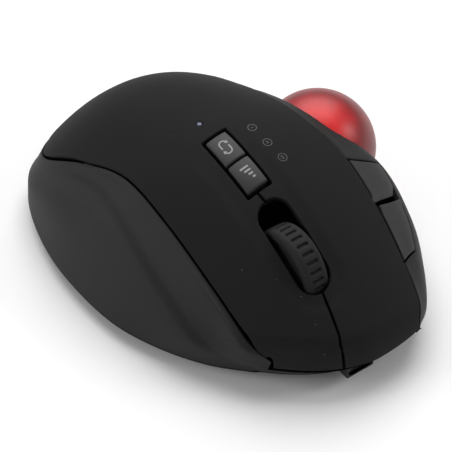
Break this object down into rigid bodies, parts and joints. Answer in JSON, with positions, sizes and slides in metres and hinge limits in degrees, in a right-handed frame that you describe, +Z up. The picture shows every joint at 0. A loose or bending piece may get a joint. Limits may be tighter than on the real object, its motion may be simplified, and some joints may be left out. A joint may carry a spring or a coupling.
{
  "type": "thumb trackball mouse",
  "caption": "Right-handed wireless thumb-ball mouse: domed palm shell, split click plates, ribbed wheel, small top and side buttons, red ball on the thumb side.",
  "frame": {"origin": "on the table, below the middle of the object's box", "axes": "+X to the user's right (little-finger side), +Y forward (charging port end), +Z up"},
  "size_m": [0.0952, 0.1266, 0.0467],
  "materials": {
    "soft_touch": "soft-touch painted black ABS",
    "side_panel": "fine-textured black ABS",
    "satin_caps": "satin dark grey ABS",
    "ball": "polished pearlescent red phenolic resin",
    "rubber": "moulded black rubber",
    "black_plastic": "moulded black ABS",
    "board": "green solder-masked glass-epoxy board",
    "steel": "plated steel",
    "ceramic": "white zirconia",
    "clear": "clear polycarbonate light pipe",
    "feet": "dark grey low-friction pad",
    "foil": "aluminium-laminate pouch"
  },
  "bodies": {
    "root": {"palm_cover": "soft_touch", "thumb_panel": "side_panel", "pinky_panel": "side_panel", "front_bezel": "side_panel", "base": "black_plastic", "ball_cup": "black_plastic", "ball_bearing_1": "ceramic", "ball_bearing_2": "ceramic", "ball_bearing_3": "ceramic", "sensor_lens": "clear", "ball_sensor": "black_plastic", "sensor_board": "board", "main_board": "board", "button_board": "board", "thumb_board": "board", "left_switch": "black_plastic", "right_switch": "black_plastic", "wheel_switch": "black_plastic", "mode_switch": "black_plastic", "sensitivity_switch": "black_plastic", "back_switch": "black_plastic", "forward_switch": "black_plastic", "inner_frame": "black_plastic", "battery": "foil", "charging_port": "steel", "power_switch": "black_plastic", "status_light": "clear", "foot_1": "feet", "foot_2": "feet", "foot_3": "feet", "foot_4": "feet", "foot_5": "feet", "screw_1": "steel", "screw_2": "steel", "screw_3": "steel", "screw_4": "steel"},
    "left_button": {"left_button": "soft_touch", "indicator_1": "clear", "indicator_2": "clear", "indicator_3": "clear"},
    "right_button": {"right_button": "soft_touch"},
    "wheel_press": {"wheel_carrier": "black_plastic", "wheel_encoder": "satin_caps"},
    "wheel": {"wheel_tyre": "rubber", "wheel_hub": "satin_caps", "wheel_axle": "steel"},
    "mode_button": {"mode_button": "satin_caps"},
    "sensitivity_button": {"sensitivity_button": "satin_caps"},
    "back_button": {"back_button": "satin_caps"},
    "forward_button": {"forward_button": "satin_caps"},
    "trackball": {"trackball": "ball"},
    "power_slider": {"power_slider": "satin_caps"}
  },
  "joints": [
    {"name": "left_click", "type": "hinge", "parent": "root", "child": "left_button", "pos_m": [-0.00799, -0.00492, 0.043], "axis": [1, 0, 0], "range_deg": [-0.45, 0], "stiffness_Nm_per_rad": 1, "springref_deg": 0.46},
    {"name": "right_click", "type": "hinge", "parent": "root", "child": "right_button", "pos_m": [0.01601, -0.00492, 0.041], "axis": [1, 0, 0], "range_deg": [-0.45, 0], "stiffness_Nm_per_rad": 1, "springref_deg": 0.46},
    {"name": "wheel_click", "type": "slide", "parent": "root", "child": "wheel_press", "axis": [0, 0, 1], "range_m": [-0.0006, 0], "stiffness_N_per_m": 700, "springref_m": 0.001},
    {"name": "wheel_spin", "type": "hinge", "parent": "wheel_press", "child": "wheel", "pos_m": [0.00481, 0.03388, 0.0264], "axis": [1, 0, 0], "continuous": true},
    {"name": "mode_press", "type": "slide", "parent": "root", "child": "mode_button", "axis": [0, 0, 1], "range_m": [-0.0005, 0], "stiffness_N_per_m": 400, "springref_m": 0.0005},
    {"name": "sensitivity_press", "type": "slide", "parent": "root", "child": "sensitivity_button", "axis": [0, 0, 1], "range_m": [-0.0005, 0], "stiffness_N_per_m": 400, "springref_m": 0.0005},
    {"name": "back_press", "type": "slide", "parent": "root", "child": "back_button", "axis": [-0.3, 0, 0.9539], "range_m": [-0.0005, 0], "stiffness_N_per_m": 500, "springref_m": 0.0005},
    {"name": "forward_press", "type": "slide", "parent": "root", "child": "forward_button", "axis": [-0.3, 0, 0.9539], "range_m": [-0.0005, 0], "stiffness_N_per_m": 500, "springref_m": 0.0005},
    {"name": "ball_roll", "type": "hinge", "parent": "root", "child": "trackball", "pos_m": [-0.03059, -0.00122, 0.024], "axis": [0, 1, 0], "continuous": true},
    {"name": "power_slide", "type": "slide", "parent": "root", "child": "power_slider", "axis": [1, 0, 0], "range_m": [0, 0.003]}
  ]
}
